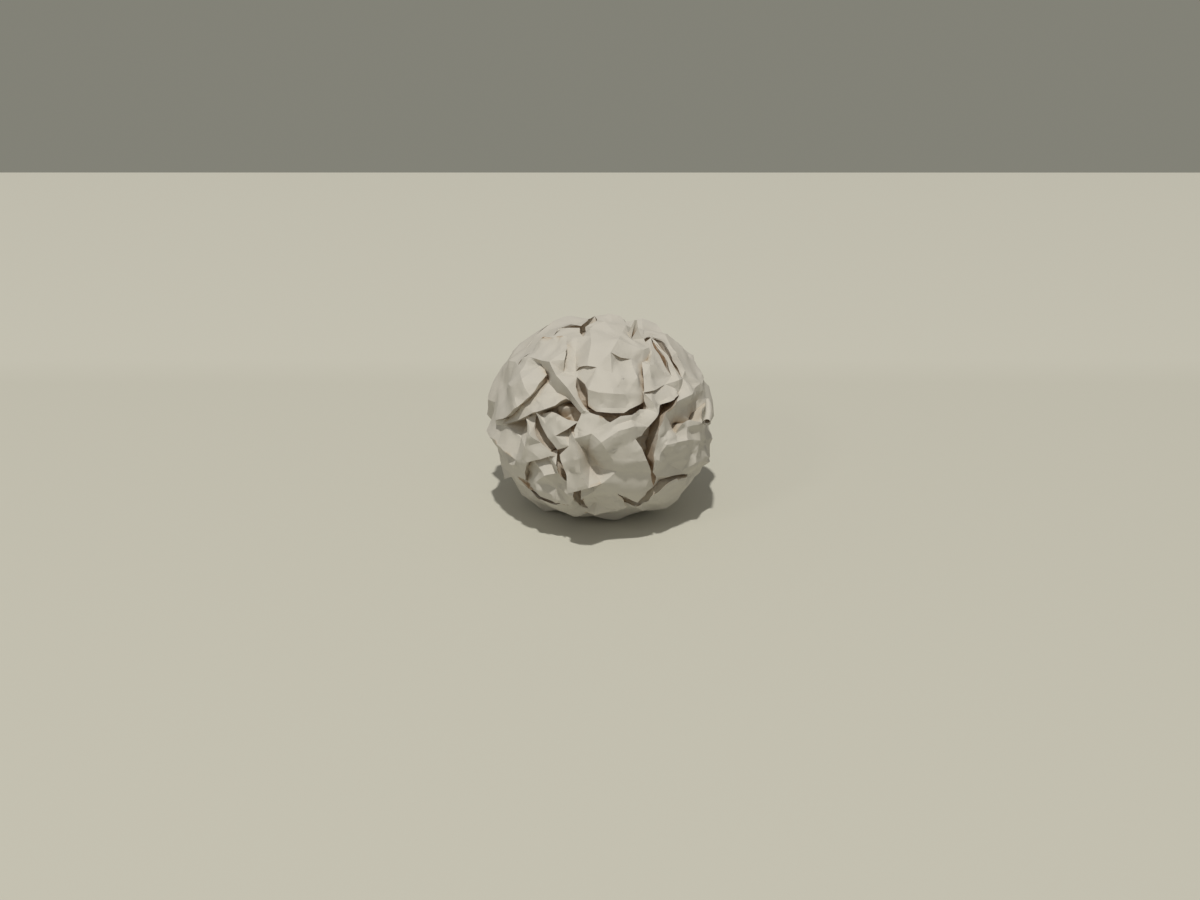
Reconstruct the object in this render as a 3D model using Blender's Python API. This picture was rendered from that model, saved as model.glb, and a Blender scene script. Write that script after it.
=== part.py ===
"""A ball crumpled by hand from one sheet of plain white paper.

The skin of the ball is one surface. It is drawn as a map of folds on a sphere: creases, laps where one
plate of paper hangs over the next, and gaps where two folded edges part over a dark pocket. The front of
the ball is drawn fold by fold and the far side by a seeded rule in the same manner.
Metres, +Z up. The origin is where the ball stands, under the middle of its box.
"""

import math
import random
from collections import defaultdict
from dataclasses import dataclass, field

import bmesh
import bpy
import numpy as np
from mathutils.geometry import delaunay_2d_cdt

MM = 0.001

# Driving sizes of the ball
BALL_WIDTH = 56.0 * MM
BALL_DEPTH = 54.0 * MM
BALL_HEIGHT = 50.0 * MM
FOOT_PRESS = 1.3 * MM

# Driving sizes of its folds
FOLD_HEIGHT = 1.6 * MM
LAP_REACH = 0.2 * MM
LAP_TUCK = 0.8 * MM
LAP_POCKET = 1.8 * MM
GAP_POCKET = 4.4 * MM
GAP_UNDERCUT = 2.0 * MM
LIP_THICKNESS = 0.35 * MM
LIP_SETBACK = 0.6 * MM
FLOOR_CLEARANCE = 0.4 * MM

# The most that a pocket takes of the room to the next fold, and a lip of its lap's drop
TUCK_SHARE = 0.3
SETBACK_SHARE = 0.22
UNDERCUT_SHARE = 0.35
POCKET_SHARE = 0.4
LIP_SHARE = 0.45
ONE_SIDE_DROP = 0.6

# How sharp a fold is, from 0, a soft bend, to 1, a knife edge
CREASE_SHARPNESS = 1.0
LIP_SHARPNESS = 1.0
POINT_SHARPNESS = 1.0
FLAT_WITHIN = 3.0
PLATE_SHARPNESS = (0.2, 1.0, 1.0)

# The front is drawn as seen from this many degrees above the horizon, in hundredths of the ball's half
# width: how far right and up of its middle, and how high over the plain ellipsoid with these half axes
EYE_ELEVATION = 25.0
DRAWN_HALF = (94.3, 90.7, 83.6)
HIGHEST_RIM = 60.0
SAME_CORNER = 1.5
HUNDREDTH = BALL_WIDTH / 200

# Steps between corners, in degrees round the ball
FOLD_STEP = 8.5
PLATE_STEP = 8.5
BACK_STEP = 9.6
FOOT_RING = 19.0
FOOT_CORNERS = 7
SAME_SPOT = 1e-7
NO_SIDE = 0.05

# The plates between the drawn folds, and the far side. An unevenness is a share of the step, and the last
# three are cosines: how near the eye's rim a back fold starts and ends, and how straight it runs
SEED = 11
FILL_TRIES = 6000
PLATE_DENT = 0.45 * MM
SETTLING_ROUNDS = 40
BACK_LIFT = 2.1 * MM
BACK_UNEVENNESS = 0.25
BACK_TRIES = 34
BACK_FOLDS = (("lap", 6), ("lap", 9), ("lap", 13), ("lap", 17), ("gap", 5), ("gap", 8))
BACK_FOLD_STEPS = (3, 6)
FRONT_RIM = 0.05
BACK_RIM = -0.02
STRAIGHT_AHEAD = 0.3

PAPER_COLOUR = (0.80, 0.78, 0.74, 1.0)
PAPER_ROUGHNESS = 0.85

LEFT, RIGHT = 1, -1


@dataclass
class Fold:
    """One fold line. size is a lap's drop or a gap's width, and over the side that lies on top."""

    name: str
    kind: str
    route: list
    over: int = 0
    size: float = 0.0
    chain: list = field(default_factory=list)


FOLDS = []


def crease(name, *route):
    FOLDS.append(Fold(name, "crease", list(route)))


def lap(name, over, drop, *route):
    FOLDS.append(Fold(name, "lap", list(route), over, drop * HUNDREDTH))


def gap(name, width, *route):
    FOLDS.append(Fold(name, "gap", list(route), 0, width * HUNDREDTH))


OUTLINE = [
    (-98, -3), (-95, 12), (-91, 27), (-85, 40), (-78, 52), (-66, 61), (-57, 72), (-45, 78), (-33, 82),
    (-18, 81), (-4, 90), (10, 91), (21, 85), (27, 79), (40, 76), (50, 74), (62, 70), (72, 59), (84, 48),
    (91, 34), (94, 20), (98, 11), (97, -6), (100, -20), (97, -34), (90, -48), (82, -61), (71, -74),
    (60, -82), (46, -85), (32, -86), (16, -90), (0, -90.5), (-16, -91), (-30, -84), (-45, -78), (-60, -75),
    (-68, -60), (-76, -53), (-87, -56), (-89, -42), (-92, -27), (-100, -13),
]


def draw_front():
    """Each point is (right, up, lift). A point with no lift lies on a corner that is drawn already."""
    # Crown
    gap("crown_gap", 9, (-40, 70, 2), (-35, 77, 1), (-26, 79, 1), (-15, 78, -1), (-7, 84, 2), (-4, 90, 3))
    gap("crown_gap_tail", 6, (-15, 78), (-14, 69, 1))
    lap("crown_back", RIGHT, 5, (-5, 79, 5), (5, 82, 6), (14, 82, 4))
    crease("crown_ridge", (24, 80, 4), (17, 66, 13), (10, 54, 15))
    crease("crown_left_slope", (10, 54), (-2, 41, 11))
    crease("crown_front", (10, 54), (11, 36, 10), (12, 18, 16))
    crease("crown_underturn", (-10, 22, 14), (0, 19, 15), (12, 18), (25, 18, 14), (39, 20, 9))
    crease("crown_band_near", (-8, 76, 4), (-7, 62, 10), (-10, 43, 12))
    crease("crown_band_far", (-19, 69, 3), (-20, 53, -1), (-20, 38, 1))
    lap("hook", LEFT, 3, (-20, 38), (-17, 42, 6), (-10, 43), (-2, 41))
    lap("mouth", LEFT, 4, (10, 54), (19, 51, 11), (28, 49, 6))
    crease("crown_right_edge", (24, 80), (28, 67, 3), (38, 56, 7), (33, 46, 3), (28, 49))
    crease("crown_right_hollow", (33, 46), (33, 33, 9))
    # Brow
    lap("brow", RIGHT, 6, (-57, 58, 1), (-47, 66, 6), (-29, 68, 9), (-29, 57, 10), (-30, 47, 9),
        (-30, 37, 1))
    crease("brow_strip_foot", (-30, 47), (-20, 38))
    crease("brow_fold", (-43, 46, 11), (-37, 34, 12), (-28, 24, 12), (-20, 13, 10), (-13, 4, 10))
    crease("brow_edge", (-60, 50, 5), (-43, 46))
    # Left shoulder
    lap("long_diagonal", RIGHT, 8, (-50, 45, 1), (-45, 35, 1), (-52, 27, 6), (-60, 17, 9), (-70, 8, 10),
        (-82, -1, 6), (-90, -4, 2))
    crease("shoulder_ridge", (-70, 43, 2), (-66, 31, 11), (-60, 17))
    gap("shoulder_notch", 5, (-70, 43), (-66, 50, 1), (-60, 55, 1))
    crease("shoulder_far", (-81, 49, 5), (-73, 47, 1), (-70, 43))
    crease("flap_right", (-45, 35), (-41, 27, -4), (-36, 20, -2), (-28, 17, 1))
    # Recess below the left flap
    lap("flap_lip", LEFT, 18, (-82, -7, 0), (-70, -3, 4), (-58, 3, 9), (-47, 6, 11), (-38, 9, 10),
        (-28, 17))
    lap("recess_right", LEFT, 16, (-28, 17), (-20, 8, 4), (-14, 2, 6), (-17, -5, 6))
    lap("recess_foot", RIGHT, 16, (-58, 3), (-50, 1, 3), (-41, 3, 6), (-34, 0, 4), (-27, -4, 5), (-17, -5))
    crease("eye_ridge", (-58, 3), (-46, -7, 5), (-37, -17, 5))
    gap("dark_slot", 9, (-58, 3), (-54, -9, 4), (-47, -21, 4), (-35, -31, 1))
    lap("cup_foot", LEFT, 11, (-37, -17), (-27, -11, 5), (-17, -5))
    lap("cup_side", LEFT, 9, (-17, -5), (-20, -12, 6), (-20, -19, 8))
    gap("star", 8, (-25, -25, 4), (-35, -31))
    # Wedge and the recess under the crown
    gap("wedge", 8, (-19, 33, 3), (-16, 26, 5), (-14, 17, 6), (-11, 8, 5))
    lap("crown_lip", LEFT, 15, (-11, 8), (-2, 4, 6), (10, 3, 6), (20, 3, 6), (30, 8, 6), (39, 13, 4))
    lap("nose_lip", RIGHT, 15, (-11, 8), (-8, 2, 8), (2, -1, 8), (8, -6, 6), (18, -1, 7), (27, 0, 6),
        (34, 5, 5), (41, 5, 4))
    lap("cheek_left_lip", LEFT, 6, (44, 50, 3), (38, 46, 7), (39, 33, 9), (39, 20), (39, 13), (41, 5))
    # Right shoulder
    lap("spike_left", RIGHT, 6, (41, 68, 4), (43, 59, 6), (44, 50))
    gap("long_slit_outer", 7, (41, 68), (46, 70, 3), (53, 66, 4), (62, 52, 6), (73, 32, 5))
    gap("long_slit_inner", 5, (46, 70), (51, 58, 3), (58, 46, 4), (62, 34, 2))
    crease("spike_ridge", (46, 62, 3), (45, 44, 11), (49, 31, 4), (57, 27, 3))
    lap("cheek_fold", LEFT, 5, (39, 20), (48, 22, 9), (57, 27))
    crease("leaf_ridge", (66, 39, 4), (68, 30, 8), (68, 21, 2))
    crease("outer_ridge", (73, 32), (79, 18, 9), (77, 7, 3))
    crease("rim_ridge", (86, 42, 3), (89, 28, 9), (94, 20, 7))
    crease("back_ridge", (58, 71, 6), (69, 55, 11), (77, 40, 10), (86, 42))
    # Long recess on the right
    lap("recess_left_lip", RIGHT, 19, (68, 21, 2), (63, 14, 6), (53, 10, 7), (48, 2, 8), (41, -9, 9),
        (36, -17, 7), (30, -19, 9), (36, -28, 12), (41, -39, 13), (45, -48, 8))
    lap("recess_right_lip", LEFT, 19, (68, 21), (66, 11, 8), (58, 1, 11), (51, -10, 11), (49, -21, 10),
        (47, -34, 11), (45, -48))
    crease("cheek_right_slope", (53, 10), (45, 12, 11), (39, 20))
    # Ear and the recess beside the roll
    lap("ear_lip", RIGHT, 13, (67, -16, 5), (72, -7, 9), (79, -4, 9), (88, -7, 9), (90, 4, 8), (94, 13, 5))
    crease("ear_slope", (51, -10), (60, -13, 6), (67, -16))
    # Great front flap
    crease("flap_top", (-20, -19), (-6, -14, 8), (10, -8, 6), (26, -3, 5), (41, 5))
    crease("flap_streak", (-11, -31, 1), (2, -22, 15), (16, -13, 16), (28, -9, 12))
    crease("flap_corner", (26, -3), (28, -9), (30, -19))
    crease("flap_valley", (-20, -19), (-11, -31), (-8, -44, 1), (3, -58, 11))
    crease("tongue_ridge", (-20, -19), (-17, -36, 17), (-16, -50, 20), (-9, -61, 20))
    crease("flap_bow", (2, -22), (13, -40, 13), (18, -58, 9), (14, -66, 7))
    crease("flap_right_edge", (45, -48), (41, -60, 10), (34, -75, 8))
    gap("tongue_side", 5, (-35, -31), (-34, -41, 8), (-31, -53, 13), (-29, -66, 16))
    lap("tongue_lip", LEFT, 20, (-29, -66), (-20, -64, 20), (-9, -61), (3, -58))
    gap("chin_slot", 7, (-20, -64), (-18, -73, 3), (-14, -79, 1), (-9, -80, 1))
    crease("chin_ridge", (-9, -80), (4, -74, 4), (14, -66))
    lap("flap_foot", LEFT, 14, (14, -66), (24, -70, 8), (34, -75), (39, -77, 5))
    lap("jaw_lip", RIGHT, 9, (14, -66), (20, -72, 4), (24, -80, 6), (32, -81, 6), (39, -77))
    # Lower right
    gap("right_slot", 5, (45, -48), (47, -54, 5), (47, -61, 4))
    lap("leaf_lip", RIGHT, 9, (39, -77), (48, -68, 9), (57, -61, 10), (67, -55, 8), (76, -51, 3))
    crease("leaf_back", (39, -77), (52, -73, 11), (66, -65, 9), (80, -61, 4))
    crease("pebble_top", (51, -21, 8), (58, -25, 14), (77, -21, 12), (78, -10, 11), (79, -4))
    crease("pebble_side", (77, -21), (80, -33, 7), (70, -47, 3))
    crease("pebble_foot", (58, -25), (53, -35, 14), (61, -42, 6), (70, -47))
    crease("right_cheek", (89, -8, 8), (90, -22, 11), (84, -40, 11))
    crease("right_jaw", (70, -47), (83, -41, 11), (95, -37, 7))
    crease("right_under", (50, -51, 5), (62, -53, 7), (76, -49, 4), (90, -50, 4))
    # Left side
    crease("cheek_ridge", (-64, -3, 4), (-60, -16, 12), (-66, -36, 9))
    crease("cheek_hollow", (-90, -8, -1), (-80, -9, -1), (-80, -24, 2), (-84, -29, 6))
    lap("cheek_line", LEFT, 6, (-94, -20, 6), (-84, -29), (-72, -38, 4))
    lap("bowl_lip", RIGHT, 9, (-35, -31), (-50, -36, 6), (-62, -39, 9), (-65, -49, 8), (-63, -58, 3))
    crease("bowl_ridge", (-60, -61, 5), (-48, -52, 12), (-36, -49, 5))
    gap("bowl_foot", 4, (-72, -52, 5), (-63, -65, 7), (-52, -72, 12), (-38, -77, 10), (-25, -76, 6))
    crease("left_jaw", (-86, -57, 5), (-79, -55, 1), (-72, -52))
    lap("rim_left", LEFT, 8, (-62, -73, 3), (-46, -80, 3), (-30, -84, 6))
    lap("rim_right", LEFT, 7, (-22, -86, 5), (-4, -87, 8), (16, -84, 7), (24, -80))
    # Pinched tab on the far side of the crown
    crease("tab_edge", (30, 71, 2), (31, 79, 11), (32, 85, 17), (34, 85, 17), (35, 78, 11), (36, 71, 2))
    crease("tab_left", (27, 73, 1), (28, 78, -1))
    crease("tab_right", (39, 70, 1), (39, 76, -1))


def unit(v):
    return v / np.linalg.norm(v)


def skin_half():
    """Half axes of the ellipsoid that the folds stand on."""
    return np.array((BALL_WIDTH, BALL_DEPTH, BALL_HEIGHT)) / 2 - FOLD_HEIGHT


def eye_axes():
    """The eye's right, its up, and the way from the ball to it."""
    tilt = math.radians(EYE_ELEVATION)
    right = np.array((1.0, 0.0, 0.0))
    up = np.array((0.0, math.sin(tilt), math.cos(tilt)))
    near = np.array((0.0, -math.cos(tilt), math.sin(tilt)))
    return right, up, near


def sight(right, up, lift):
    """Whether a line of sight meets the drawn ellipsoid at this lift, and the direction of that place."""
    e_right, e_up, near = eye_axes()
    half = np.array(DRAWN_HALF) + lift
    start, way = (right * e_right + up * e_up) / half, near / half
    a, b, c = way @ way, start @ way, start @ start - 1
    room = b * b - a * c
    along = (-b + math.sqrt(max(room, 0.0))) / a
    return room > 0, unit(start + along * way)


def rim_at(right, up):
    """(direction, lift) of a place on the ball's outline."""
    low, high = -HIGHEST_RIM, HIGHEST_RIM
    while high - low > 0.001:
        middle = (low + high) / 2
        if sight(right, up, middle)[0]:
            high = middle
        else:
            low = middle
    return sight(right, up, high)[1], high


def seen_at(right, up, lift):
    """(direction, lift) of the place drawn there. A place past the rim is raised until it is on the rim."""
    met, direction = sight(right, up, lift)
    return (direction, lift) if met else rim_at(right, up)


def degrees_between(a, b):
    return math.degrees(math.acos(max(-1.0, min(1.0, float(a @ b)))))


class FoldMap:
    """Corners on a unit sphere, each with its lift, and the folds that join them."""

    def __init__(self):
        self.corners = []
        self.lifts = []
        self.drawn = []
        self.free = set()
        self.foot = []

    def add(self, direction, lift):
        self.corners.append(direction)
        self.lifts.append(lift)
        return len(self.corners) - 1

    def corner_drawn_at(self, point):
        right, up = point[:2]
        for (r, u), index in self.drawn:
            if math.hypot(r - right, u - up) < SAME_CORNER:
                return index
        if len(point) < 3:
            raise ValueError(f"no corner is drawn yet at {point}")
        direction, lift = seen_at(*point)
        index = self.add(direction, lift * HUNDREDTH)
        self.drawn.append(((right, up), index))
        return index

    def walk(self, ends):
        """The chain of corners through these ends, with more between them where they lie far apart."""
        chain = [ends[0]]
        for a, b in zip(ends, ends[1:]):
            start, stop = self.corners[a], self.corners[b]
            pieces = max(1, round(degrees_between(start, stop) / FOLD_STEP))
            for n in range(1, pieces):
                t = n / pieces
                lift = self.lifts[a] * (1 - t) + self.lifts[b] * t
                chord = 1 - math.cos(math.radians(degrees_between(start, stop)) / 2)
                sag = chord * BALL_WIDTH / 2 * 4 * t * (1 - t)
                chain.append(self.add(unit(start * (1 - t) + stop * t), lift - sag))
            chain.append(b)
        return chain

    def nearest(self, direction):
        return math.degrees(math.acos(min(1.0, float((np.array(self.corners) @ direction).max()))))

    def add_outline(self):
        for right, up in OUTLINE:
            direction, lift = rim_at(right, up)
            if self.nearest(direction) > FOLD_STEP / 2:
                self.add(direction, lift * HUNDREDTH)

    def add_foot(self):
        ring = math.radians(FOOT_RING)
        for n in range(FOOT_CORNERS):
            turn = 2 * math.pi * n / FOOT_CORNERS
            direction = (math.sin(ring) * math.cos(turn), math.sin(ring) * math.sin(turn), -math.cos(ring))
            self.foot.append(self.add(np.array(direction), FOLD_HEIGHT))
        self.foot.append(self.add(np.array((0.0, 0.0, -1.0)), FOLD_HEIGHT))

    def fill(self, rng):
        """Corners inside the drawn plates, whose lifts are settled later, and all of the back."""
        near = eye_axes()[2]
        self.add(-near, FOLD_HEIGHT)
        pole = len(self.corners) - 1
        for _ in range(FILL_TRIES):
            direction = unit(np.array([rng.gauss(0, 1) for _ in range(3)]))
            if -direction[2] > math.cos(math.radians(FOOT_RING)):
                continue
            in_front = direction @ near > FRONT_RIM
            step = PLATE_STEP if in_front else BACK_STEP * (1 + BACK_UNEVENNESS * rng.uniform(-1, 1))
            if self.nearest(direction) < step:
                continue
            index = self.add(direction, FOLD_HEIGHT + rng.uniform(-1, 1) * BACK_LIFT)
            if in_front:
                self.free.add(index)
        return pole


def triangulate(fold_map, pole):
    """Triangles over all of the corners, counter-clockwise from outside, with each drawn fold as edges."""
    right, up, near = eye_axes()
    flat = []
    for index, corner in enumerate(fold_map.corners):
        if index != pole:
            stretch = 2 / (1 + corner @ near)
            flat.append((index, (corner @ right * stretch, corner @ up * stretch)))
    order = [index for index, _ in flat]
    place = {index: n for n, index in enumerate(order)}
    steps = [step for fold in FOLDS for step in zip(fold.chain, fold.chain[1:])]
    edges = {tuple(sorted((place[a], place[b]))) for a, b in steps}
    points, _, faces, sources, _, _ = delaunay_2d_cdt([p for _, p in flat], sorted(edges), [], 0, SAME_SPOT)
    if len(points) != len(flat) or any(len(s) != 1 for s in sources):
        raise ValueError("two folds cross, or two corners lie on one spot")
    triangles = [tuple(order[sources[v][0]] for v in face) for face in faces]
    used = {(a, b) for t in triangles for a, b in zip(t, t[1:] + t[:1])}
    hull = [(a, b) for a, b in used if (b, a) not in used]
    return triangles + [(b, a, pole) for a, b in sorted(hull)]


def add_back_folds(fold_map, triangles, rng):
    """Laps and gaps on the far side: walks along the edges of the triangles, clear of each other."""
    near = eye_axes()[2]
    around = defaultdict(set)
    for t in triangles:
        for a, b in zip(t, t[1:] + t[:1]):
            around[a].add(b)
    taken = {v for fold in FOLDS for v in fold.chain} | set(fold_map.foot)
    for n in range(BACK_TRIES):
        starts = [v for v in sorted(around) if v not in taken and fold_map.corners[v] @ near < -FRONT_RIM]
        if not starts:
            return
        chain = [rng.choice(starts)]
        heading = None
        for _ in range(rng.randint(*BACK_FOLD_STEPS)):
            here = fold_map.corners[chain[-1]]
            options = []
            for v in sorted(around[chain[-1]]):
                if v in taken or v in chain or fold_map.corners[v] @ near > BACK_RIM:
                    continue
                way = unit(fold_map.corners[v] - here)
                options.append((rng.random() if heading is None else way @ heading, v, way))
            if not options:
                break
            ahead, v, way = max(options, key=lambda option: option[0])
            if heading is not None and ahead < STRAIGHT_AHEAD:
                break
            heading = way
            chain.append(v)
        taken.update(chain)
        if len(chain) < 3:
            continue
        for v in chain:
            taken.update(around[v])
        kind, size = rng.choice(BACK_FOLDS)
        FOLDS.append(Fold(f"back_{n}", kind, [], rng.choice((LEFT, RIGHT)), size * HUNDREDTH, chain))


@dataclass
class Sheet:
    """One side of a split corner: the place of its edge, and its points down to the pocket."""

    direction: np.ndarray
    lift: float
    inward: np.ndarray
    thickness: float
    top: int = -1
    under: int = -1
    hollow: int = -1


class Skin:
    """The folded surface, built from the triangles by opening every lap and gap into a pocket."""

    def __init__(self, fold_map, triangles, rng):
        self.map = fold_map
        self.points = []
        self.faces = []
        self.sharp = {}
        self.next_around = {}
        for t in triangles:
            for a, b, c in (t, t[1:] + t[:1], t[2:] + t[:2]):
                self.next_around[a, b] = c
        self.slits = {}
        self.slit_neighbours = defaultdict(list)
        for fold in FOLDS:
            if fold.kind != "crease":
                for a, b in zip(fold.chain, fold.chain[1:]):
                    self.slits[a, b] = (fold.kind, fold.over, fold.size)
                    self.slits[b, a] = (fold.kind, -fold.over, fold.size)
                    self.slit_neighbours[a].append(b)
                    self.slit_neighbours[b].append(a)
        self.sheet_of = {}
        self.sheets_at = defaultdict(list)
        self.pockets = {}
        for a in range(len(fold_map.corners)):
            self.split(a)
        self.settle_free_corners(triangles, rng)
        for t in triangles:
            self.faces.append(tuple(self.sheet_of[a, b].top for a, b in zip(t, t[1:] + t[:1])))
        for a, b in list(self.slits):
            if a < b:
                self.open_slit(a, b)
        self.mark_creases()

    def put(self, direction, lift):
        self.points.append((direction, lift))
        return len(self.points) - 1

    def tangent(self, a, b):
        here, there = self.map.corners[a], self.map.corners[b]
        return unit(there - here * (there @ here))

    def room(self, a):
        """Distance from this corner to the nearest lap or gap that isn't its own."""
        own = {a, *self.slit_neighbours[a]}
        own |= {c for b in self.slit_neighbours[a] for c in self.slit_neighbours[b]}
        here = self.map.corners[a]
        others = [self.map.corners[v] for v in self.slit_neighbours if v not in own]
        closest = math.acos(min(1.0, float((np.array(others) @ here).max())))
        return closest * BALL_WIDTH / 2

    def neighbours_from(self, a, first):
        """The corners round a, counter-clockwise from first."""
        found = [first]
        while (b := self.next_around[a, found[-1]]) != first:
            found.append(b)
        return found

    def split(self, a):
        slit_ends = self.slit_neighbours.get(a, [])
        base, lift = self.map.corners[a], self.map.lifts[a]
        if len(slit_ends) < 2:
            whole = Sheet(base, lift, np.zeros(3), 0.0)
            whole.top = self.put(base, lift)
            self.sheets_at[a].append(whole)
            start = next(b for (v, b) in self.next_around if v == a) if not slit_ends else slit_ends[0]
            for b in self.neighbours_from(a, start):
                self.sheet_of[a, b] = whole
            if slit_ends:
                self.pockets[a] = whole.top
            return
        radius = BALL_WIDTH / 2
        room = self.room(a)
        ring = self.neighbours_from(a, slit_ends[0])
        ends = [b for b in ring if b in slit_ends]
        sheets = []
        for b, c in zip(ends, ends[1:] + ends[:1]):
            into_b = np.cross(base, self.tangent(a, b))
            into_c = -np.cross(base, self.tangent(a, c))
            total = into_b + into_c
            if np.linalg.norm(total) < NO_SIDE:
                total = self.tangent(a, b) + self.tangent(a, c)
            inward = unit(total)
            shift, drops, thickness = np.zeros(3), [], LIP_THICKNESS
            for (kind, over, size), into, own_side in (
                (self.slits[a, b], into_b, LEFT),
                (self.slits[a, c], into_c, RIGHT),
            ):
                if kind == "gap":
                    shift += into * size / 2
                elif over == own_side:
                    shift -= into * LAP_REACH
                    thickness = min(thickness, LIP_SHARE * size)
                else:
                    shift -= into * min(LAP_TUCK, TUCK_SHARE * room)
                    drops.append(size)
            drop = max(drops, default=0.0) * (1.0 if len(drops) == 2 else ONE_SIDE_DROP)
            direction = unit(base + shift / 2 / radius)
            sheet = Sheet(direction, lift - drop, inward, thickness)
            sheet.top = self.put(direction, lift - drop)
            if len(drops) < 2:
                setback = min(LIP_SETBACK, SETBACK_SHARE * room)
                sheet.under = self.put(unit(direction + inward * setback / radius), lift - drop - thickness)
            sheets.append(sheet)
            self.sheets_at[a].append(sheet)
            for v in ring[ring.index(b):] + ring[:ring.index(b)]:
                if v == c:
                    break
                self.sheet_of[a, v] = sheet
        uppers = [s for s in sheets if s.under >= 0]
        lowest = min(s.lift - s.thickness * (s.under >= 0) for s in sheets)
        gaps = [self.slits[a, b][0] == "gap" for b in ends]
        depth = GAP_POCKET if all(gaps) else LAP_POCKET if not any(gaps) else (GAP_POCKET + LAP_POCKET) / 2
        toward = sum((s.inward for s in uppers), np.zeros(3)) / len(sheets)
        middle = unit(sum((s.direction for s in sheets), np.zeros(3)))
        back = min(LAP_TUCK + LIP_SETBACK, POCKET_SHARE * room)
        if all(gaps):
            for s in sheets:
                undercut = min(GAP_UNDERCUT, UNDERCUT_SHARE * room)
                s.hollow = self.put(unit(s.direction + s.inward * undercut / radius), lowest - depth / 2)
        self.pockets[a] = self.put(unit(middle + toward * back / radius), lowest - depth)

    def settle_free_corners(self, triangles, rng):
        """Each free corner moves to the middle of those round it, so a plate is flat, then is dented."""
        links = defaultdict(set)
        for t in triangles:
            tops = [self.sheet_of[a, b].top for a, b in zip(t, t[1:] + t[:1])]
            for i, top in enumerate(tops):
                links[top].update(tops[:i] + tops[i + 1:])
        free = [self.top_of(a) for a in sorted(self.map.free)]
        radius = BALL_WIDTH / 2
        spots = [direction * (radius + lift) for direction, lift in self.points]
        for _ in range(SETTLING_ROUNDS):
            for v in free:
                spots[v] = sum(spots[w] for w in links[v]) / len(links[v])
        for v in free:
            dent = rng.uniform(-1, 1) * PLATE_DENT
            self.points[v] = (unit(spots[v]), float(np.linalg.norm(spots[v])) - radius + dent)

    def top_of(self, a):
        return next(s.top for (v, _), s in self.sheet_of.items() if v == a)

    def path(self, a, sheet):
        """The points from a sheet's edge down to the pocket's floor."""
        if self.pockets[a] == sheet.top:
            return [sheet.top]
        rows = (sheet.top, sheet.under, sheet.hollow, self.pockets[a])
        return [v for v in rows if v >= 0]

    def padded(self, path, rows):
        wait = max(0, len(path) - 2)
        return path[:wait] + [path[wait]] * (rows - len(path)) + path[wait:]

    def add_strip(self, first, second):
        """Faces between two paths. A path that is shorter waits on its way down for the other."""
        rows = max(len(first), len(second))
        first, second = self.padded(first, rows), self.padded(second, rows)
        for n in range(rows - 1):
            ring = [second[n], first[n], first[n + 1], second[n + 1]]
            face = [v for i, v in enumerate(ring) if v != ring[i - 1]]
            if len(face) > 2:
                self.faces.append(tuple(face))

    def open_slit(self, a, b):
        left_a, left_b = self.sheet_of[a, b], self.sheet_of[b, self.next_around[a, b]]
        right_b, right_a = self.sheet_of[b, a], self.sheet_of[a, self.next_around[b, a]]
        self.add_strip(self.path(a, left_a), self.path(b, left_b))
        self.add_strip(self.path(b, right_b), self.path(a, right_a))
        for s, t in ((left_a, left_b), (right_a, right_b)):
            if s.under >= 0 or t.under >= 0:
                self.sharp[frozenset((s.top, t.top))] = LIP_SHARPNESS

    def mark_creases(self):
        for fold in FOLDS:
            if fold.kind == "crease":
                for a, b in zip(fold.chain, fold.chain[1:]):
                    left = (self.sheet_of[a, b].top, self.sheet_of[b, self.next_around[a, b]].top)
                    self.sharp[frozenset(left)] = CREASE_SHARPNESS


def places(skin):
    """Where each point of the skin stands. What would lie under the foot is raised clear of the floor."""
    half = skin_half()
    floor = FOOT_PRESS - BALL_HEIGHT / 2
    spots = []
    for direction, lift in skin.points:
        spots.append(direction * half + unit(direction / half) * lift)
    spots = np.array(spots)
    low = spots[:, 2] < floor + FLOOR_CLEARANCE
    spots[low, 2] = floor + FLOOR_CLEARANCE
    for a in skin.map.foot:
        spots[skin.top_of(a), 2] = floor
    return spots


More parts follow.
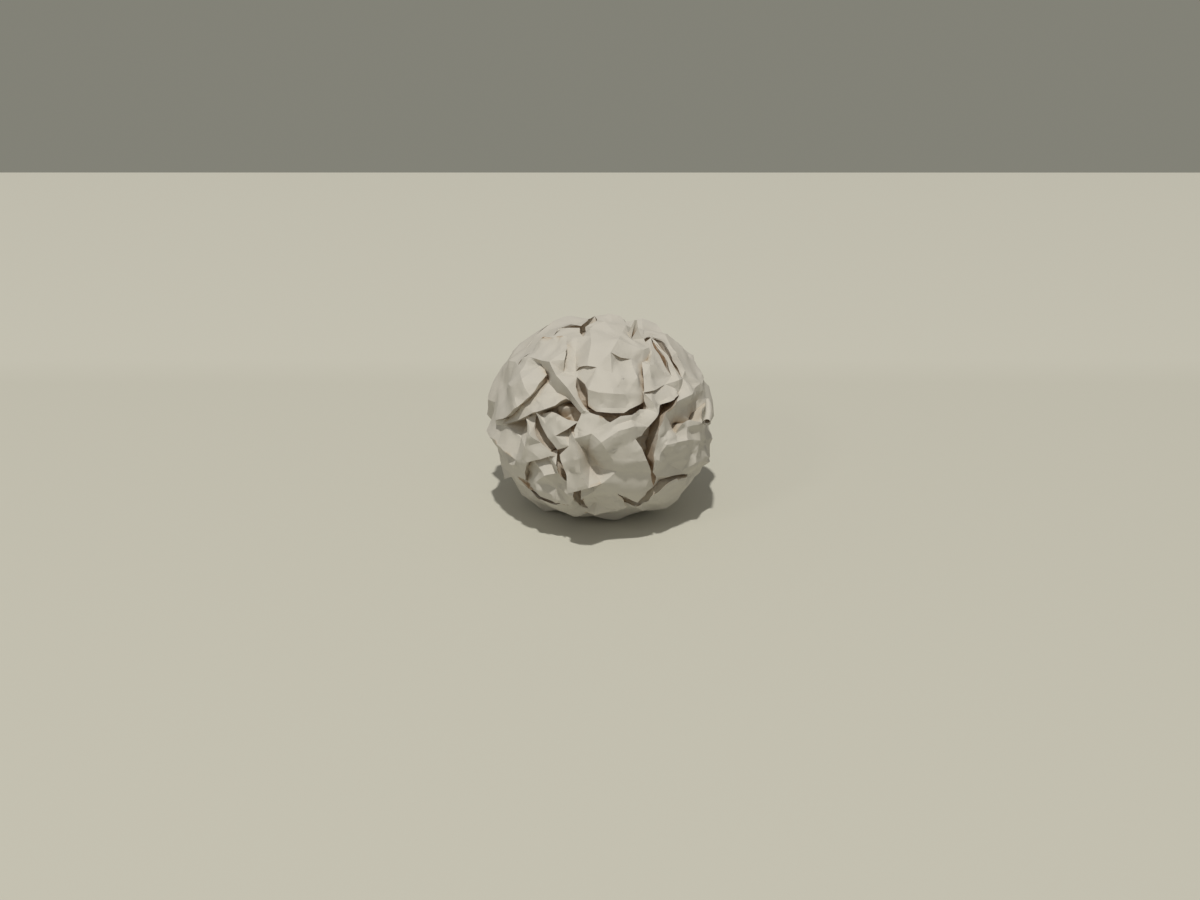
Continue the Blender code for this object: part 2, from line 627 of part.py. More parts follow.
def main():
    for obj in list(bpy.data.objects):
        bpy.data.objects.remove(obj)
    rng = random.Random(SEED)
    draw_front()
    fold_map = FoldMap()
    for fold in FOLDS:
        fold.chain = fold_map.walk([fold_map.corner_drawn_at(p) for p in fold.route])
    fold_map.add_outline()
    fold_map.add_foot()
    pole = fold_map.fill(rng)
    triangles = triangulate(fold_map, pole)
    add_back_folds(fold_map, triangles, rng)
    skin = Skin(fold_map, triangles, rng)
    spots = places(skin)
    middle = (spots.max(axis=0) + spots.min(axis=0)) / 2
    spots -= np.array((middle[0], middle[1], spots[:, 2].min()))

    mesh = bpy.data.meshes.new("paper_ball")
    mesh.from_pydata([tuple(p) for p in spots], [], skin.faces)
    shape = bmesh.new()
    shape.from_mesh(mesh)
    layer = shape.edges.layers.float.get("crease_edge") or shape.edges.layers.float.new("crease_edge")
    points = shape.verts.layers.float.get("crease_vert") or shape.verts.layers.float.new("crease_vert")
    pointed = {sheet.top for _, a in fold_map.drawn for sheet in skin.sheets_at[a]}
    for vertex in shape.verts:
        if vertex.index in pointed:
            vertex[points] = POINT_SHARPNESS
    ring = {skin.top_of(a) for a in fold_map.foot[:-1]}
    tops = {sheet.top for sheet in skin.sheet_of.values()}
    for edge in shape.edges:
        ends = frozenset(v.index for v in edge.verts)
        if ends in skin.sharp:
            edge[layer] = skin.sharp[ends]
        elif ends <= ring:
            edge[layer] = 1.0
            edge.seam = True
        elif ends <= tops:
            edge[layer] = rng.choice(PLATE_SHARPNESS)
    shape.to_mesh(mesh)
    shape.free()
    ball = bpy.data.objects.new("paper_ball", mesh)
    bpy.context.scene.collection.objects.link(ball)

    smooth = ball.modifiers.new("soft folds", "SUBSURF")
    smooth.levels = 1
    smooth.render_levels = 1
    thin = ball.modifiers.new("fewer flat facets", "DECIMATE")
    thin.decimate_type = "DISSOLVE"
    thin.angle_limit = math.radians(FLAT_WITHIN)
    thin.delimit = {"SEAM"}

    paper = bpy.data.materials.new("white_paper")
    paper.use_nodes = True
    shader = paper.node_tree.nodes["Principled BSDF"]
    shader.inputs["Base Color"].default_value = PAPER_COLOUR
    shader.inputs["Roughness"].default_value = PAPER_ROUGHNESS
    shader.inputs["Metallic"].default_value = 0.0
    mesh.materials.append(paper)


main()
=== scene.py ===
"""The looks of a ball crumpled by hand from one sheet of white office paper.

Metres, +Z up. The ball's own solid is copied, refined and given the small folds, dents and worn creases that
a crumpled sheet has between its main folds. The side that faces -Y is drawn fold by fold.
"""

import math
import random

import bmesh
import bpy
import numpy as np
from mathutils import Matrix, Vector
from mathutils.bvhtree import BVHTree


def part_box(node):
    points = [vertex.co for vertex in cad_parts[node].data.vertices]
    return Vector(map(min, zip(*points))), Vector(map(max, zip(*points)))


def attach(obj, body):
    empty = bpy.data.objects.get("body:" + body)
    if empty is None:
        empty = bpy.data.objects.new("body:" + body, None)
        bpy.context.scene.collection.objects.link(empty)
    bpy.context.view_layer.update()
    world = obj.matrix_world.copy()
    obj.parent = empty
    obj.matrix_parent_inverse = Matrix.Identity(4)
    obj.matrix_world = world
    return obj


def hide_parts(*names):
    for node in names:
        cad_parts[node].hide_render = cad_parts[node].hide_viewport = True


MM = 0.001

# The ball, as measured from its solid
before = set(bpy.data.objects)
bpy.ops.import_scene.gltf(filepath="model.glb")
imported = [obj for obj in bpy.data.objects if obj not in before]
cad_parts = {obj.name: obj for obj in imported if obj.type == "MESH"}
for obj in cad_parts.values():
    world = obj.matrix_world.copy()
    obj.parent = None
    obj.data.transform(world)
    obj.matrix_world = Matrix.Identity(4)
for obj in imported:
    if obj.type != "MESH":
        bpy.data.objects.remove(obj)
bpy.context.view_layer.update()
BALL_LOW, BALL_HIGH = (np.array(corner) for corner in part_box("paper_ball"))
BALL_MIDDLE = (BALL_LOW + BALL_HIGH) / 2
BALL_RADIUS = float((BALL_HIGH - BALL_LOW)[:2].mean()) / 2

# How the ball is seen: degrees above the horizon, and places in hundredths of its half width
EYE_ELEVATION = 25.0
HUNDREDTH = 0.28 * MM
DRAWN_MIDDLE = Vector((0.0, 0.0, 25.0 * MM))
SIGHT_START = 3.0 * BALL_RADIUS

# Picture size that the view is worked out for, and where the ball's middle and half width fall in it
PICTURE_WIDTH = 1200
PICTURE_HEIGHT = 900
BALL_ACROSS_PX = 600.5
BALL_DOWN_PX = 414.0
HALF_WIDTH_PX = 112.5
LENS = 75.0 * MM
FILM_WIDTH = 36.0 * MM

# How the solid's surface is joined and its flat stretches are cleaned before it is refined
JOIN_WITHIN = 0.002 * MM
SLIVER = 0.05 * MM
FLAT_WITHIN = math.radians(4)
QUAD_BEND = math.radians(12)
QUAD_SHAPE = math.radians(60)

# Levels of refinement of the skin, which of its folds stay sharp, and how much each corner is dented
SKIN_LEVELS = 2
FOLD_ANGLE = math.radians(7)
FOLD_SHARPNESS = 1.0
CRISP_ANGLE = math.radians(13)
DENT = 0.10 * MM

# Heights this near the lowest one belong to the foot and stay flat
FOOT_WHEN_DENTED = 0.10 * MM
FOOT_WHEN_FOLDED = 0.05 * MM

# Small folds: how far a broad one reaches and how much of it stands out, how round a sharp one's top is,
# the share of its height left at its ends, and how far out from the middle the scattered ones are centred
TENT_REACH = 2.2
TENT_LIFT = 0.45
RIDGE_ROUNDING = 0.04
END_SHARE = 0.3
FOLD_CENTRES = 0.97 * BALL_RADIUS
FOLD_GAIN = 2.0

# Scattered folds: count, span in mm, slope, rounding in mm
BROAD_TENTS = (140, (5.0, 9.0), (0.06, 0.15), 0.08)
SMALL_TENTS = (560, (2.0, 4.5), (0.10, 0.24), 0.06)

# Scattered creases: count, length, height and half width in mm
LONG_CREASES = (300, (4.0, 12.0), (0.12, 0.34), (0.9, 2.2))
SHORT_CREASES = (500, (2.0, 5.0), (0.08, 0.20), (0.6, 1.2))

# How openness is measured: rays sent from each point, and how far they look for paper
SKY_RAYS = 18
SKY_REACH = 11.0 * MM
SKY_START = 0.12 * MM

SEED = 5

# The sheet's corner, rolled up at the ball's right edge
ROLL_TOP = (94.5, 12)
ROLL_FOOT = (92.5, -7)
ROLL_INSET = 4.0
ROLL_RADIUS = 1.05 * MM
ROLL_START = 200.0
ROLL_TURN = 560.0
ROLL_ROWS = 14
ROLL_STEPS = 40
ROLL_BOW = 0.35 * MM
ROLL_TOP_SHARE = 0.62
ROLL_TAPER = 0.42
ROLL_SWELLS = (0.09, 7.0)
ROLL_DENTS = (0.07, 3.0)
ROLL_CRISP_ANGLE = math.radians(40)
SHEET_THICKNESS = 0.12 * MM

# Small folds of the side that faces the eye: start, end (right, up), height in hundredths, half width in mm
FRONT_FOLDS = (
    ((-30, 53), (-20, 53), 1.6, 1.6), ((-30, 46), (-24, 42), 1.8, 1.5), ((-25, 71), (-24, 56), 1.2, 1.4),
    ((-56, 58), (-46, 65), 1.6, 1.4), ((-50, 63), (-31, 66), 1.4, 1.5), ((-48, 50), (-36, 62), -1.3, 2.2),
    ((-66, 47), (-52, 47), 1.5, 1.4), ((-47, 31), (-60, 18), -1.4, 1.5), ((-76, 38), (-72, 8), 1.2, 2.6),
    ((-90, 30), (-80, 6), -1.0, 2.4), ((-60, 6), (-38, 14), -1.0, 1.8), ((-50, 12), (-43, 27), 1.2, 1.6),
    ((-6, 72), (12, 58), 1.1, 2.2), ((0, 60), (14, 76), -0.9, 2.4), ((20, 70), (34, 58), 1.3, 1.8),
    ((12, 48), (30, 40), -0.9, 2.4), ((-4, 36), (9, 24), 1.0, 2.2), ((14, 30), (34, 26), 0.9, 2.2),
    ((22, 46), (24, 22), -0.8, 2.4), ((0, 18), (8, 6), 1.0, 1.6), ((22, 18), (28, 10), -1.2, 1.6),
    ((-44, -2), (-30, -10), 1.3, 1.6), ((-38, -1), (-36, -12), -1.0, 1.6),
    ((-30, -19), (-21, -20), 1.4, 1.2), ((-72, -8), (-62, -34), 1.2, 2.4),
    ((-76, -20), (-48, -28), -1.0, 2.4), ((-56, -12), (-42, -30), 1.0, 2.0),
    ((-90, -24), (-80, -50), 1.2, 2.2), ((-80, -40), (-72, -44), 1.8, 1.0),
    ((-62, -58), (-38, -50), 1.4, 1.8), ((-56, -44), (-44, -66), -1.0, 2.2),
    ((-52, -62), (-38, -74), 1.2, 1.8), ((-70, -56), (-56, -72), -1.2, 1.8),
    ((-28, -34), (-24, -58), -1.2, 1.8), ((-26, -46), (-16, -44), 0.9, 1.8),
    ((-8, -18), (14, -8), 1.3, 1.4), ((4, -30), (26, -46), 1.0, 2.4), ((10, -24), (12, -56), -0.9, 2.6),
    ((20, -20), (36, -44), 0.9, 2.4), ((4, -44), (30, -60), -0.8, 2.4), ((24, -52), (34, -70), 1.0, 2.0),
    ((-14, -70), (4, -66), 1.6, 1.4), ((-12, -76), (10, -70), -1.4, 1.6), ((-16, -84), (16, -80), 1.6, 1.6),
    ((0, -76), (-6, -88), 1.4, 1.5), ((-30, -72), (-22, -82), 1.4, 1.4),
    ((-44, -76), (-26, -80), -1.2, 1.6), ((22, -74), (34, -78), 1.8, 1.2), ((33, -78), (37, -84), 2.0, 1.0),
    ((44, -72), (70, -62), -1.0, 2.0), ((50, -70), (78, -57), 1.2, 1.8), ((50, -66), (66, -56), 1.4, 1.2),
    ((68, -48), (95, -37), 1.6, 1.4), ((80, -12), (88, -34), -1.2, 2.0), ((89, -12), (90, -34), 1.5, 1.6),
    ((60, -28), (72, -42), 1.3, 1.8), ((52, -36), (66, -34), -1.2, 1.6), ((72, -24), (76, -40), 1.2, 1.6),
    ((54, -22), (66, -18), 1.2, 1.4), ((70, -10), (66, 2), 1.2, 1.6), ((62, 22), (64, 12), 1.8, 1.2),
    ((75, 28), (78, 12), 1.6, 1.4), ((85, 40), (90, 24), 1.6, 1.4), ((70, 6), (84, 10), -1.6, 1.6),
    ((74, 2), (86, -2), -1.4, 1.6), ((56, 60), (68, 44), -1.0, 1.6), ((60, 68), (74, 50), 1.2, 1.8),
    ((40, 42), (44, 28), 1.2, 1.6), ((48, 48), (56, 36), -1.1, 1.6), ((42, 18), (56, 18), 1.0, 1.6),
    ((46, 14), (50, 6), -1.0, 1.4), ((14, 86), (24, 80), 1.2, 1.4), ((-19, -21), (-10, -36), -2.4, 1.8),
    ((-10, -36), (1, -56), -2.6, 2.0), ((-6, -24), (0, -44), 1.0, 2.0), ((-42, -66), (-30, -78), 1.6, 1.3),
    ((-64, -66), (-50, -76), 1.5, 1.3), ((-24, -78), (-16, -70), 1.4, 1.2),
    ((-36, -60), (-30, -72), -1.4, 1.3), ((6, -70), (20, -82), 1.6, 1.4), ((24, -80), (8, -84), -1.4, 1.2),
    ((38, -70), (54, -80), 1.4, 1.5), ((58, -60), (80, -66), -1.4, 1.5), ((66, -58), (84, -52), 1.5, 1.2),
    ((82, -30), (92, -40), 1.6, 1.3), ((78, -16), (92, -18), -1.2, 1.4), ((62, -34), (74, -32), 1.3, 1.2),
    ((56, -44), (66, -38), -1.3, 1.2), ((72, 14), (88, 20), 1.3, 1.4), ((80, 26), (86, 10), -1.4, 1.4),
    ((66, 52), (80, 34), -1.3, 1.5), ((52, 66), (62, 52), 1.4, 1.4), ((32, 36), (36, 24), -1.2, 1.4),
    ((-82, 22), (-70, 26), 1.1, 1.6), ((-86, -34), (-72, -30), -1.2, 1.5),
    ((-70, -40), (-62, -52), 1.5, 1.3),
)

# Broad leans of the large plates, drawn the same way but at their own heights
FRONT_LEANS = (
    ((-16, -20), (28, -6), 7.0, 8.0), ((-22, -24), (-13, -27), 5.5, 5.5), ((-74, 40), (-66, 28), 2.5, 6.0),
    ((-46, 30), (-34, 20), 2.0, 5.0), ((66, 24), (74, 28), 2.5, 5.0), ((-40, 46), (-30, 34), 2.0, 5.0),
    ((78, -44), (94, -34), 4.5, 5.0), ((-14, -83), (22, -84), 3.0, 4.0),
)

# Floors of the open gaps, pushed out toward the light
GAP_FLOORS = (
    ((44, 4), (46, -18), 8.0, 3.4), ((46, -18), (44, -40), 8.0, 3.2), ((0, -2), (14, -2), 7.0, 3.0),
    ((14, -2), (30, 2), 6.0, 2.8), ((-36, 4), (-24, 5), 7.0, 3.0), ((56, 12), (62, 4), 5.0, 2.6),
)

# Painted shade: the share of the paper's colour that is left, by how open the place is, so deep folds are
# painted darker and browner
PAINTED_FOLD_SHADE = (
    (0.00, (0.50, 0.350, 0.235, 1.0)),
    (0.10, (0.84, 0.715, 0.590, 1.0)),
    (0.28, (0.97, 0.920, 0.860, 1.0)),
    (0.52, (0.99, 0.970, 0.950, 1.0)),
    (0.75, (1.00, 1.000, 1.000, 1.0)),
)

WARM_WHITE = (0.61, 0.578, 0.508, 1.0)
COOL_WHITE = (0.58, 0.560, 0.508, 1.0)

# The table's edges, and where its far part is painted lighter, as painted light for the brighter lit far
# part of the table
TABLE_FAR_EDGE = 0.2496
TABLE_NEAR_EDGE = -3.0
TABLE_HALF_WIDTH = 3.0
PAINTED_LIGHT_FROM = 0.074
PAINTED_LIGHT_RISE = 60.0
TABLE_NEAR_COLOUR = (0.60, 0.59, 0.51, 1.0)
TABLE_PAINTED_LIGHT_COLOUR = (0.635, 0.625, 0.545, 1.0)

# Soft light from all round, and the plain wall that the eye sees past the table
ROOM_LIGHT = (1.0, 0.97, 0.92, 1.0)
ROOM_STRENGTH = 0.255
WALL_COLOUR = (0.225, 0.222, 0.185, 1.0)

# Lamps: name, azimuth and elevation in degrees, distance and width in metres, watts, colour.
# Azimuth 0 is the eye's side, and it grows to the right.
LAMPS = (
    ("key", -6.0, 71.0, 3.0, 0.11, 58.0, (1.0, 0.975, 0.93)),
    ("side", -48.0, 38.0, 1.2, 0.16, 0.5, (1.0, 0.98, 0.95)),
)


def unit(v):
    return v / np.linalg.norm(v)


def eye_axes():
    """The eye's right, its up, and the way from the ball to it."""
    tilt = math.radians(EYE_ELEVATION)
    right = np.array((1.0, 0.0, 0.0))
    up = np.array((0.0, math.sin(tilt), math.cos(tilt)))
    near = np.array((0.0, -math.cos(tilt), math.sin(tilt)))
    return right, up, near


def tree_of(mesh):
    return BVHTree.FromPolygons([v.co for v in mesh.vertices], [tuple(f.vertices) for f in mesh.polygons])


def deselect_all():
    for obj in bpy.context.selected_objects:
        obj.select_set(False)


def make_active(obj):
    deselect_all()
    obj.select_set(True)
    bpy.context.view_layer.objects.active = obj


# Camera


def add_camera():
    data = bpy.data.cameras.new("eye")
    data.lens = LENS / MM
    data.sensor_width = FILM_WIDTH / MM
    camera = bpy.data.objects.new("eye", data)
    bpy.context.scene.collection.objects.link(camera)
    focal_px = PICTURE_WIDTH * LENS / FILM_WIDTH
    distance = focal_px * 100 * HUNDREDTH / HALF_WIDTH_PX
    right, up, near = (Vector(axis) for axis in eye_axes())
    camera.location = DRAWN_MIDDLE + near * distance
    # The aim is turned so that the ball's middle falls at its own place in the picture
    aim_right = -(BALL_ACROSS_PX - PICTURE_WIDTH / 2) / focal_px
    aim_up = (BALL_DOWN_PX - PICTURE_HEIGHT / 2) / focal_px
    looking = -near + right * aim_right + up * aim_up
    camera.rotation_euler = looking.to_track_quat("-Z", "Y").to_euler()
    bpy.context.scene.camera = camera


# Shader sockets as values


class Value:
    """A socket that takes part in sums. An expression on values adds its Math nodes."""

    def __init__(self, kit, socket):
        self.kit = kit
        self.socket = socket

    def math(self, operation, *others, flip=False):
        values = [self, *others]
        if flip:
            values.reverse()
        return self.kit.node("ShaderNodeMath", {"operation": operation}, dict(enumerate(values)))

    def __add__(self, other):
        return self.math("ADD", other)

    def __radd__(self, other):
        return self.math("ADD", other, flip=True)

    def __sub__(self, other):
        return self.math("SUBTRACT", other)

    def __rsub__(self, other):
        return self.math("SUBTRACT", other, flip=True)

    def __mul__(self, other):
        return self.math("MULTIPLY", other)

    def __rmul__(self, other):
        return self.math("MULTIPLY", other, flip=True)

    def clamped(self):
        return self.kit.node("ShaderNodeClamp", {}, {"Value": self})


class Shader:
    """The nodes of one material."""

    def __init__(self, name):
        self.material = bpy.data.materials.new(name)
        self.material.use_nodes = True
        self.tree = self.material.node_tree
        self.surface = self.tree.nodes["Principled BSDF"]

    def node(self, kind, settings=(), inputs=(), output=0):
        made = self.tree.nodes.new(kind)
        for name, setting in dict(settings).items():
            if name == "stops":
                self.set_stops(made.color_ramp, setting)
            else:
                setattr(made, name, setting)
        for name, value in dict(inputs).items():
            self.put(made.inputs[name], value)
        return Value(self, made.outputs[output])

    def set_stops(self, ramp, stops):
        while len(ramp.elements) > 1:
            ramp.elements.remove(ramp.elements[-1])
        for index, (place, colour) in enumerate(stops):
            element = ramp.elements[0] if index == 0 else ramp.elements.new(place)
            element.position = place
            element.color = colour

    def put(self, socket, value):
        if isinstance(value, Value):
            self.tree.links.new(value.socket, socket)
        else:
            socket.default_value = value

    def finish(self, inputs):
        for name, value in inputs.items():
            self.put(self.surface.inputs[name], value)
        return self.material

    def object_place(self):
        return self.node("ShaderNodeTexCoord", output="Object")

    def noise(self, place, scale, detail=2.0, roughness=0.5, distortion=0.0):
        inputs = {"Vector": place, "Scale": scale, "Detail": detail, "Roughness": roughness}
        return self.node("ShaderNodeTexNoise", {}, {**inputs, "Distortion": distortion})

    def cells(self, place, scale):
        inputs = {"Vector": place, "Scale": scale}
        return self.node("ShaderNodeTexVoronoi", {"feature": "DISTANCE_TO_EDGE"}, inputs)

    def ramp(self, value, *stops):
        return self.node("ShaderNodeValToRGB", {"stops": stops}, {"Fac": value})

    def mixed(self, factor, first, second):
        inputs = {"Factor": factor, 6: first, 7: second}
        return self.node("ShaderNodeMix", {"data_type": "RGBA"}, inputs, output=2)

    def multiplied(self, first, second):
        inputs = {"Factor": 1.0, 6: first, 7: second}
        return self.node("ShaderNodeMix", {"data_type": "RGBA", "blend_type": "MULTIPLY"}, inputs, output=2)

    def bump(self, height, distance, strength=1.0, normal=None):
        inputs = {"Height": height, "Distance": distance, "Strength": strength}
        if normal is not None:
            inputs["Normal"] = normal
        return self.node("ShaderNodeBump", {}, inputs)


def paper_finish():
    shader = Shader("white_office_paper")
    place = shader.object_place()
    clouds = shader.noise(place, 90.0, detail=3.0)
    fibres = shader.noise(place, 2600.0, detail=3.0, roughness=0.6)
    flecks = shader.noise(place, 900.0, detail=2.0)
    colour = shader.mixed(clouds, WARM_WHITE, COOL_WHITE)
    # Shade deep in the folds is painted into the paper's colour: the less open a place, the darker and
    # browner it is painted, as paper lit by paper alone
    openness = shader.node("ShaderNodeAttribute", {"attribute_name": "openness"}, output=2)
    painted_fold_shade = shader.ramp(openness, *PAINTED_FOLD_SHADE)
    colour = shader.multiplied(colour, painted_fold_shade)
    # Fine wrinkles between the folds, and the tooth of the paper
    wrinkles = shader.cells(place, 420.0)
    dents = shader.noise(place, 260.0, detail=4.0, roughness=0.55, distortion=0.6)
    relief = shader.bump(dents, 0.30 * MM, 0.55)
    relief = shader.bump(wrinkles, 0.10 * MM, 0.35, relief)
    relief = shader.bump(fibres, 0.03 * MM, 0.5, relief)
    roughness = 0.78 + 0.12 * flecks
    shader.surface.inputs["Specular IOR Level"].default_value = 0.3
    return shader.finish({"Base Color": colour, "Roughness": roughness, "Normal": relief})


def table_finish():
    shader = Shader("pale_table")
    shader.surface.inputs["Specular IOR Level"].default_value = 0.2
    across = shader.node("ShaderNodeSeparateXYZ", {}, {"Vector": shader.object_place()}, output=1)
    # The far part of the table is painted lighter: painted light, not a colour of the table itself
    far = ((across - PAINTED_LIGHT_FROM) * PAINTED_LIGHT_RISE).clamped()
    colour = shader.mixed(far, TABLE_NEAR_COLOUR, TABLE_PAINTED_LIGHT_COLOUR)
    return shader.finish({"Base Color": colour, "Roughness": 0.9})


# The skin of the ball


def copied_skin():
    """The solid's surface as one joined mesh of mostly four-sided faces."""
    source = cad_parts["paper_ball"]
    skin = bpy.data.objects.new("paper_skin", source.data.copy())
    bpy.context.scene.collection.objects.link(skin)
    make_active(skin)
    skin.data.materials.clear()
    bpy.ops.object.mode_set(mode="EDIT")
    bpy.ops.mesh.select_all(action="SELECT")
    bpy.ops.mesh.remove_doubles(threshold=JOIN_WITHIN)
    bpy.ops.mesh.dissolve_degenerate(threshold=SLIVER)
    bpy.ops.mesh.beautify_fill(angle_limit=FLAT_WITHIN)
    bpy.ops.mesh.tris_convert_to_quads(face_threshold=QUAD_BEND, shape_threshold=QUAD_SHAPE)
    bpy.ops.object.mode_set(mode="OBJECT")
    return skin


def refine(skin):
    """Each corner is dented a little. Sharp folds are kept as creases while the rest is rounded."""
    rng = random.Random(SEED)
    mesh = bmesh.new()
    mesh.from_mesh(skin.data)
    mesh.normal_update()
    for vertex in mesh.verts:
        if vertex.co.z > BALL_LOW[2] + FOOT_WHEN_DENTED:
            vertex.co += vertex.normal * DENT * rng.uniform(-1, 1)
    mesh.normal_update()
    crease = mesh.edges.layers.float.new("crease_edge")
    for edge in mesh.edges:
        if len(edge.link_faces) == 2 and edge.calc_face_angle(0.0) > FOLD_ANGLE:
            edge[crease] = FOLD_SHARPNESS
    mesh.to_mesh(skin.data)
    mesh.free()
    make_active(skin)
    smooth = skin.modifiers.new("smooth", "SUBSURF")
    smooth.levels = SKIN_LEVELS
    smooth.render_levels = SKIN_LEVELS
    bpy.ops.object.modifier_apply(modifier="smooth")


class Folds:
    """Small folds that push the skin along the ball's radius, so both sides of a lip go together."""

    def __init__(self, points):
        self.points = points
        self.offset = points - BALL_MIDDLE
        self.reach = np.linalg.norm(self.offset, axis=1)
        self.outward = self.offset / self.reach[:, None]
        self.push = np.zeros(len(points))

    def add_tent(self, centre, across, slope, span, rounding):
        """A straight fold through centre that fades out over span. Its sides fall at this slope."""
        away = self.points - centre
        far = np.einsum("ij,ij->i", away, away)
        near = far < (TENT_REACH * span) ** 2
        side = away[near] @ across
        fade = np.exp(-far[near] / span**2)
        self.push[near] += slope * (TENT_LIFT * span - np.sqrt(side**2 + rounding**2)) * fade

    def add_line(self, start, stop, height, width):
        """A sharp fold from start to stop, this high at its middle. It falls off over this half width."""
        along = stop - start
        length = float(np.linalg.norm(along))
        away = self.points - start
        t = np.clip(away @ along / length**2, 0.0, 1.0)
        off = np.linalg.norm(away - t[:, None] * along, axis=1)
        near = off < width
        ends = np.sqrt(np.clip(4 * t * (1 - t), 0.0, 1.0))
        profile = np.clip(1 - np.sqrt((off / width) ** 2 + RIDGE_ROUNDING**2), 0.0, 1.0)
        self.push[near] += (height * (END_SHARE + (1 - END_SHARE) * ends) * profile)[near]

    def moved(self):
        return self.points + self.outward * self.push[:, None]


def random_unit(rng):
    return unit(np.array([rng.gauss(0, 1) for _ in range(3)]))


def scatter_folds(folds, rng, count, span_mm, slope, rounding_mm):
    for _ in range(count):
        outward = random_unit(rng)
        centre = BALL_MIDDLE + outward * FOLD_CENTRES
        across = unit(np.cross(outward, random_unit(rng)))
        span = rng.uniform(*span_mm) * MM
        steep = rng.uniform(*slope) * rng.choice((-1, 1))
        folds.add_tent(centre, across, steep, span, rounding_mm * MM)


def scatter_creases(folds, rng, count, length_mm, height_mm, width_mm):
    """Straight sharp creases that run across the plates."""
    for _ in range(count):
        outward = random_unit(rng)
        along = unit(np.cross(outward, random_unit(rng)))
        centre = BALL_MIDDLE + outward * FOLD_CENTRES
        half = along * rng.uniform(*length_mm) * MM / 2
        height = rng.uniform(*height_mm) * MM * rng.choice((-1, 1))
        folds.add_line(centre - half, centre + half, height, rng.uniform(*width_mm) * MM)


def drawn_place(tree, right, up):
    """Where a line of sight through this place of the drawing first meets the skin."""
    e_right, e_up, near = (Vector(axis) for axis in eye_axes())
    start = DRAWN_MIDDLE + (e_right * right + e_up * up) * HUNDREDTH + near * SIGHT_START
    hit = tree.ray_cast(start, -near)[0]
    return None if hit is None else np.array(hit)


def add_front_folds(folds, tree):
    small = [(start, stop, height * FOLD_GAIN, width) for start, stop, height, width in FRONT_FOLDS]
    for start, stop, height, width in [*small, *FRONT_LEANS, *GAP_FLOORS]:
        ends = [drawn_place(tree, *place) for place in (start, stop)]
        if all(end is not None for end in ends):
            folds.add_line(*ends, height * HUNDREDTH, width * MM)


def crumple(skin):
    count = len(skin.data.vertices)
    points = np.empty(count * 3)
    skin.data.vertices.foreach_get("co", points)
    points = points.reshape(-1, 3)
    folds = Folds(points)
    rng = random.Random(SEED)
    add_front_folds(folds, tree_of(skin.data))
    for tents in (BROAD_TENTS, SMALL_TENTS):
        scatter_folds(folds, rng, *tents)
    for creases in (LONG_CREASES, SHORT_CREASES):
        scatter_creases(folds, rng, *creases)
    moved = folds.moved()
    floor = BALL_LOW[2]
    foot = points[:, 2] < floor + FOOT_WHEN_FOLDED
    moved[foot] = points[foot]
    moved[:, 2] = np.maximum(moved[:, 2], floor)
    skin.data.vertices.foreach_set("co", moved.reshape(-1))
    skin.data.update()


def sky_directions():
    """Directions spread evenly over a half sphere about +Z, denser toward its top."""
    golden = math.pi * (3 - math.sqrt(5))
    directions = []
    for n in range(SKY_RAYS):
        height = math.sqrt((n + 0.5) / SKY_RAYS)
        ring = math.sqrt(1 - height * height)
        directions.append(Vector((ring * math.cos(golden * n), ring * math.sin(golden * n), height)))
    return directions


def measure_openness(skin):
    """Each point's share of free sky is kept as an attribute of the mesh, and it sets how much shade is
    painted into the paper's colour.
    """
    mesh = skin.data
    tree = tree_of(mesh)
    sky = sky_directions()
    attribute = mesh.attributes.new("openness", "FLOAT", "POINT")
    values = []
    for vertex in mesh.vertices:
        normal = vertex.normal
        turn = normal.to_track_quat("Z", "Y")
        start = vertex.co + normal * SKY_START
        free = sum(tree.ray_cast(start, turn @ way, SKY_REACH)[0] is None for way in sky)
        values.append(free / SKY_RAYS)
    attribute.data.foreach_set("value", values)


def add_paper_ball():
    skin = copied_skin()
    refine(skin)
    crumple(skin)
    measure_openness(skin)
    make_active(skin)
    bpy.ops.object.shade_smooth_by_angle(angle=CRISP_ANGLE)
    skin.data.materials.append(paper_finish())
    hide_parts("paper_ball")
    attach(skin, "root")
    print("paper_skin triangles", sum(len(face.vertices) - 2 for face in skin.data.polygons))
    return skin


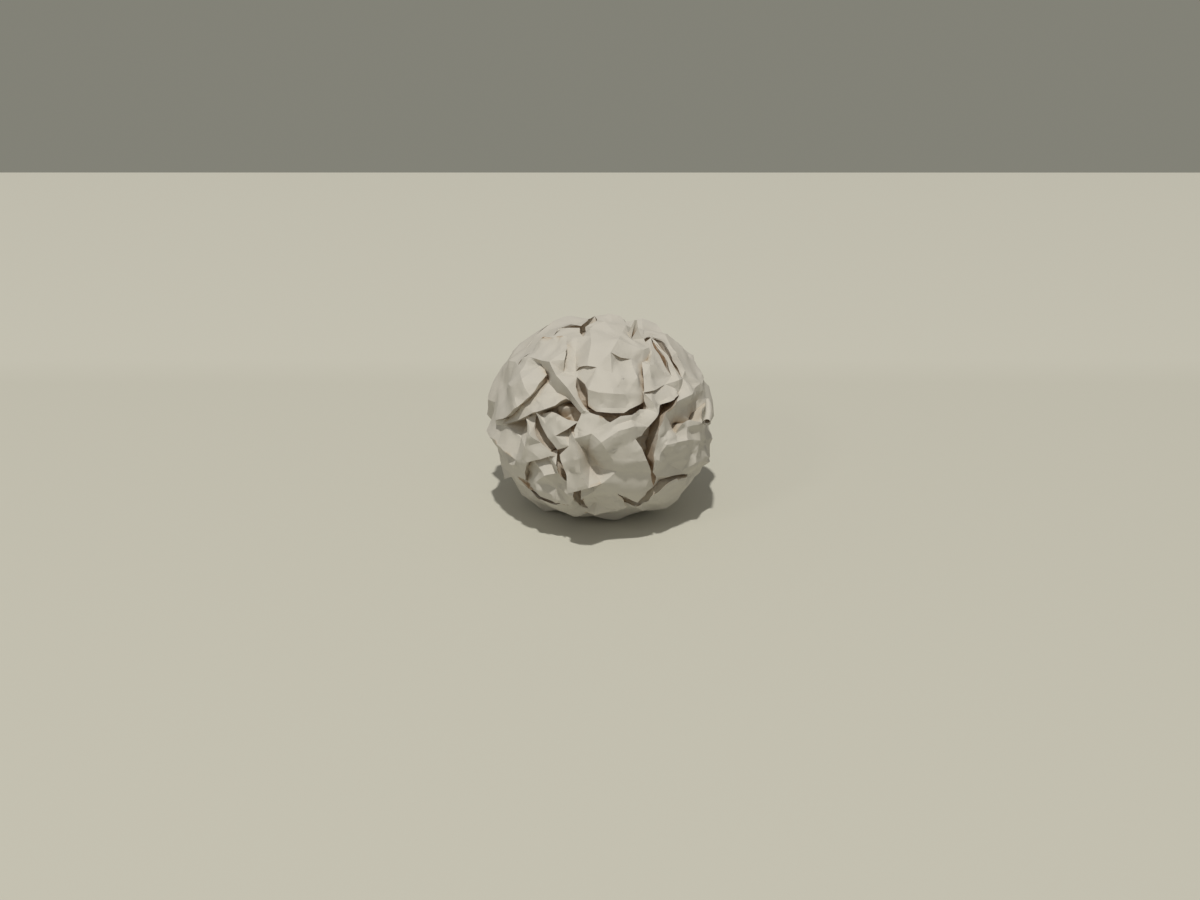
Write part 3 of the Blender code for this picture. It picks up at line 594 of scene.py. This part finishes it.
def add_rolled_corner(skin):
    """The sheet's corner, rolled into a small tube that lies along the ball's right edge."""
    tree = tree_of(skin.data)
    e_right, e_up, near = (Vector(axis) for axis in eye_axes())
    ends = []
    for right, up in (ROLL_TOP, ROLL_FOOT):
        hit = drawn_place(tree, right - ROLL_INSET, up)
        depth = (Vector(hit) - DRAWN_MIDDLE).dot(near)
        ends.append(DRAWN_MIDDLE + (e_right * right + e_up * up) * HUNDREDTH + near * depth)
    top, foot = ends
    along = (foot - top).normalized()
    side = along.cross(near).normalized()
    front = side.cross(along).normalized()
    mesh = bmesh.new()
    rows = []
    for n in range(ROLL_ROWS + 1):
        t = n / ROLL_ROWS
        centre = top.lerp(foot, t) - side * ROLL_BOW * math.sin(math.pi * t)
        swell = ROLL_RADIUS * (ROLL_TOP_SHARE + (1 - ROLL_TOP_SHARE) * t)
        swell *= 1 + ROLL_SWELLS[0] * math.sin(ROLL_SWELLS[1] * t)
        row = []
        for m in range(ROLL_STEPS + 1):
            turn = math.radians(ROLL_START + ROLL_TURN * m / ROLL_STEPS)
            dent = 1 + ROLL_DENTS[0] * math.sin(2 * turn + ROLL_DENTS[1] * t)
            radius = swell * (1 - ROLL_TAPER * m / ROLL_STEPS) * dent
            row.append(mesh.verts.new(centre + (side * math.cos(turn) + front * math.sin(turn)) * radius))
        rows.append(row)
    for first, second in zip(rows, rows[1:]):
        for m in range(ROLL_STEPS):
            mesh.faces.new((first[m], first[m + 1], second[m + 1], second[m]))
    data = bpy.data.meshes.new("rolled_corner")
    mesh.normal_update()
    mesh.to_mesh(data)
    mesh.free()
    roll = bpy.data.objects.new("rolled_corner", data)
    bpy.context.scene.collection.objects.link(roll)
    make_active(roll)
    sheet = roll.modifiers.new("sheet", "SOLIDIFY")
    sheet.thickness = SHEET_THICKNESS
    sheet.offset = 0.0
    bpy.ops.object.modifier_apply(modifier="sheet")
    bpy.ops.object.shade_smooth_by_angle(angle=ROLL_CRISP_ANGLE)
    # The tube's openness sets the shade painted into its colour too
    measure_openness(roll)
    data.materials.append(skin.data.materials[0])
    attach(roll, "root")


# Table and light


def add_table():
    deselect_all()
    bpy.ops.mesh.primitive_plane_add(size=1.0, location=(0.0, 0.0, 0.0))
    table = bpy.context.object
    table.name = "table"
    for vertex in table.data.vertices:
        vertex.co.x = math.copysign(TABLE_HALF_WIDTH, vertex.co.x)
        vertex.co.y = TABLE_FAR_EDGE if vertex.co.y > 0 else TABLE_NEAR_EDGE
    table.data.materials.append(table_finish())


def add_lamp(name, azimuth, elevation, distance, size, watts, colour):
    """A round lamp aimed at the ball."""
    a, e = math.radians(azimuth), math.radians(elevation)
    way = Vector((math.sin(a) * math.cos(e), -math.cos(a) * math.cos(e), math.sin(e)))
    data = bpy.data.lights.new(name, "AREA")
    data.shape = "DISK"
    data.size = size
    data.energy = watts
    data.color = colour
    lamp = bpy.data.objects.new(name, data)
    bpy.context.scene.collection.objects.link(lamp)
    lamp.location = DRAWN_MIDDLE + way * distance
    lamp.rotation_euler = (-way).to_track_quat("-Z", "Y").to_euler()


def add_world():
    world = bpy.data.worlds.new("room")
    bpy.context.scene.world = world
    world.use_nodes = True
    nodes, links = world.node_tree.nodes, world.node_tree.links
    soft_light = nodes["Background"]
    soft_light.inputs["Color"].default_value = ROOM_LIGHT
    soft_light.inputs["Strength"].default_value = ROOM_STRENGTH
    wall = nodes.new("ShaderNodeBackground")
    wall.inputs["Color"].default_value = WALL_COLOUR
    path = nodes.new("ShaderNodeLightPath")
    choice = nodes.new("ShaderNodeMixShader")
    links.new(path.outputs["Is Camera Ray"], choice.inputs["Fac"])
    links.new(soft_light.outputs["Background"], choice.inputs[1])
    links.new(wall.outputs["Background"], choice.inputs[2])
    links.new(choice.outputs["Shader"], nodes["World Output"].inputs["Surface"])


def light_the_scene():
    for lamp in LAMPS:
        add_lamp(*lamp)
    add_world()


bpy.context.scene.view_settings.view_transform = "Standard"
add_camera()
add_table()
light_the_scene()
add_rolled_corner(add_paper_ball())
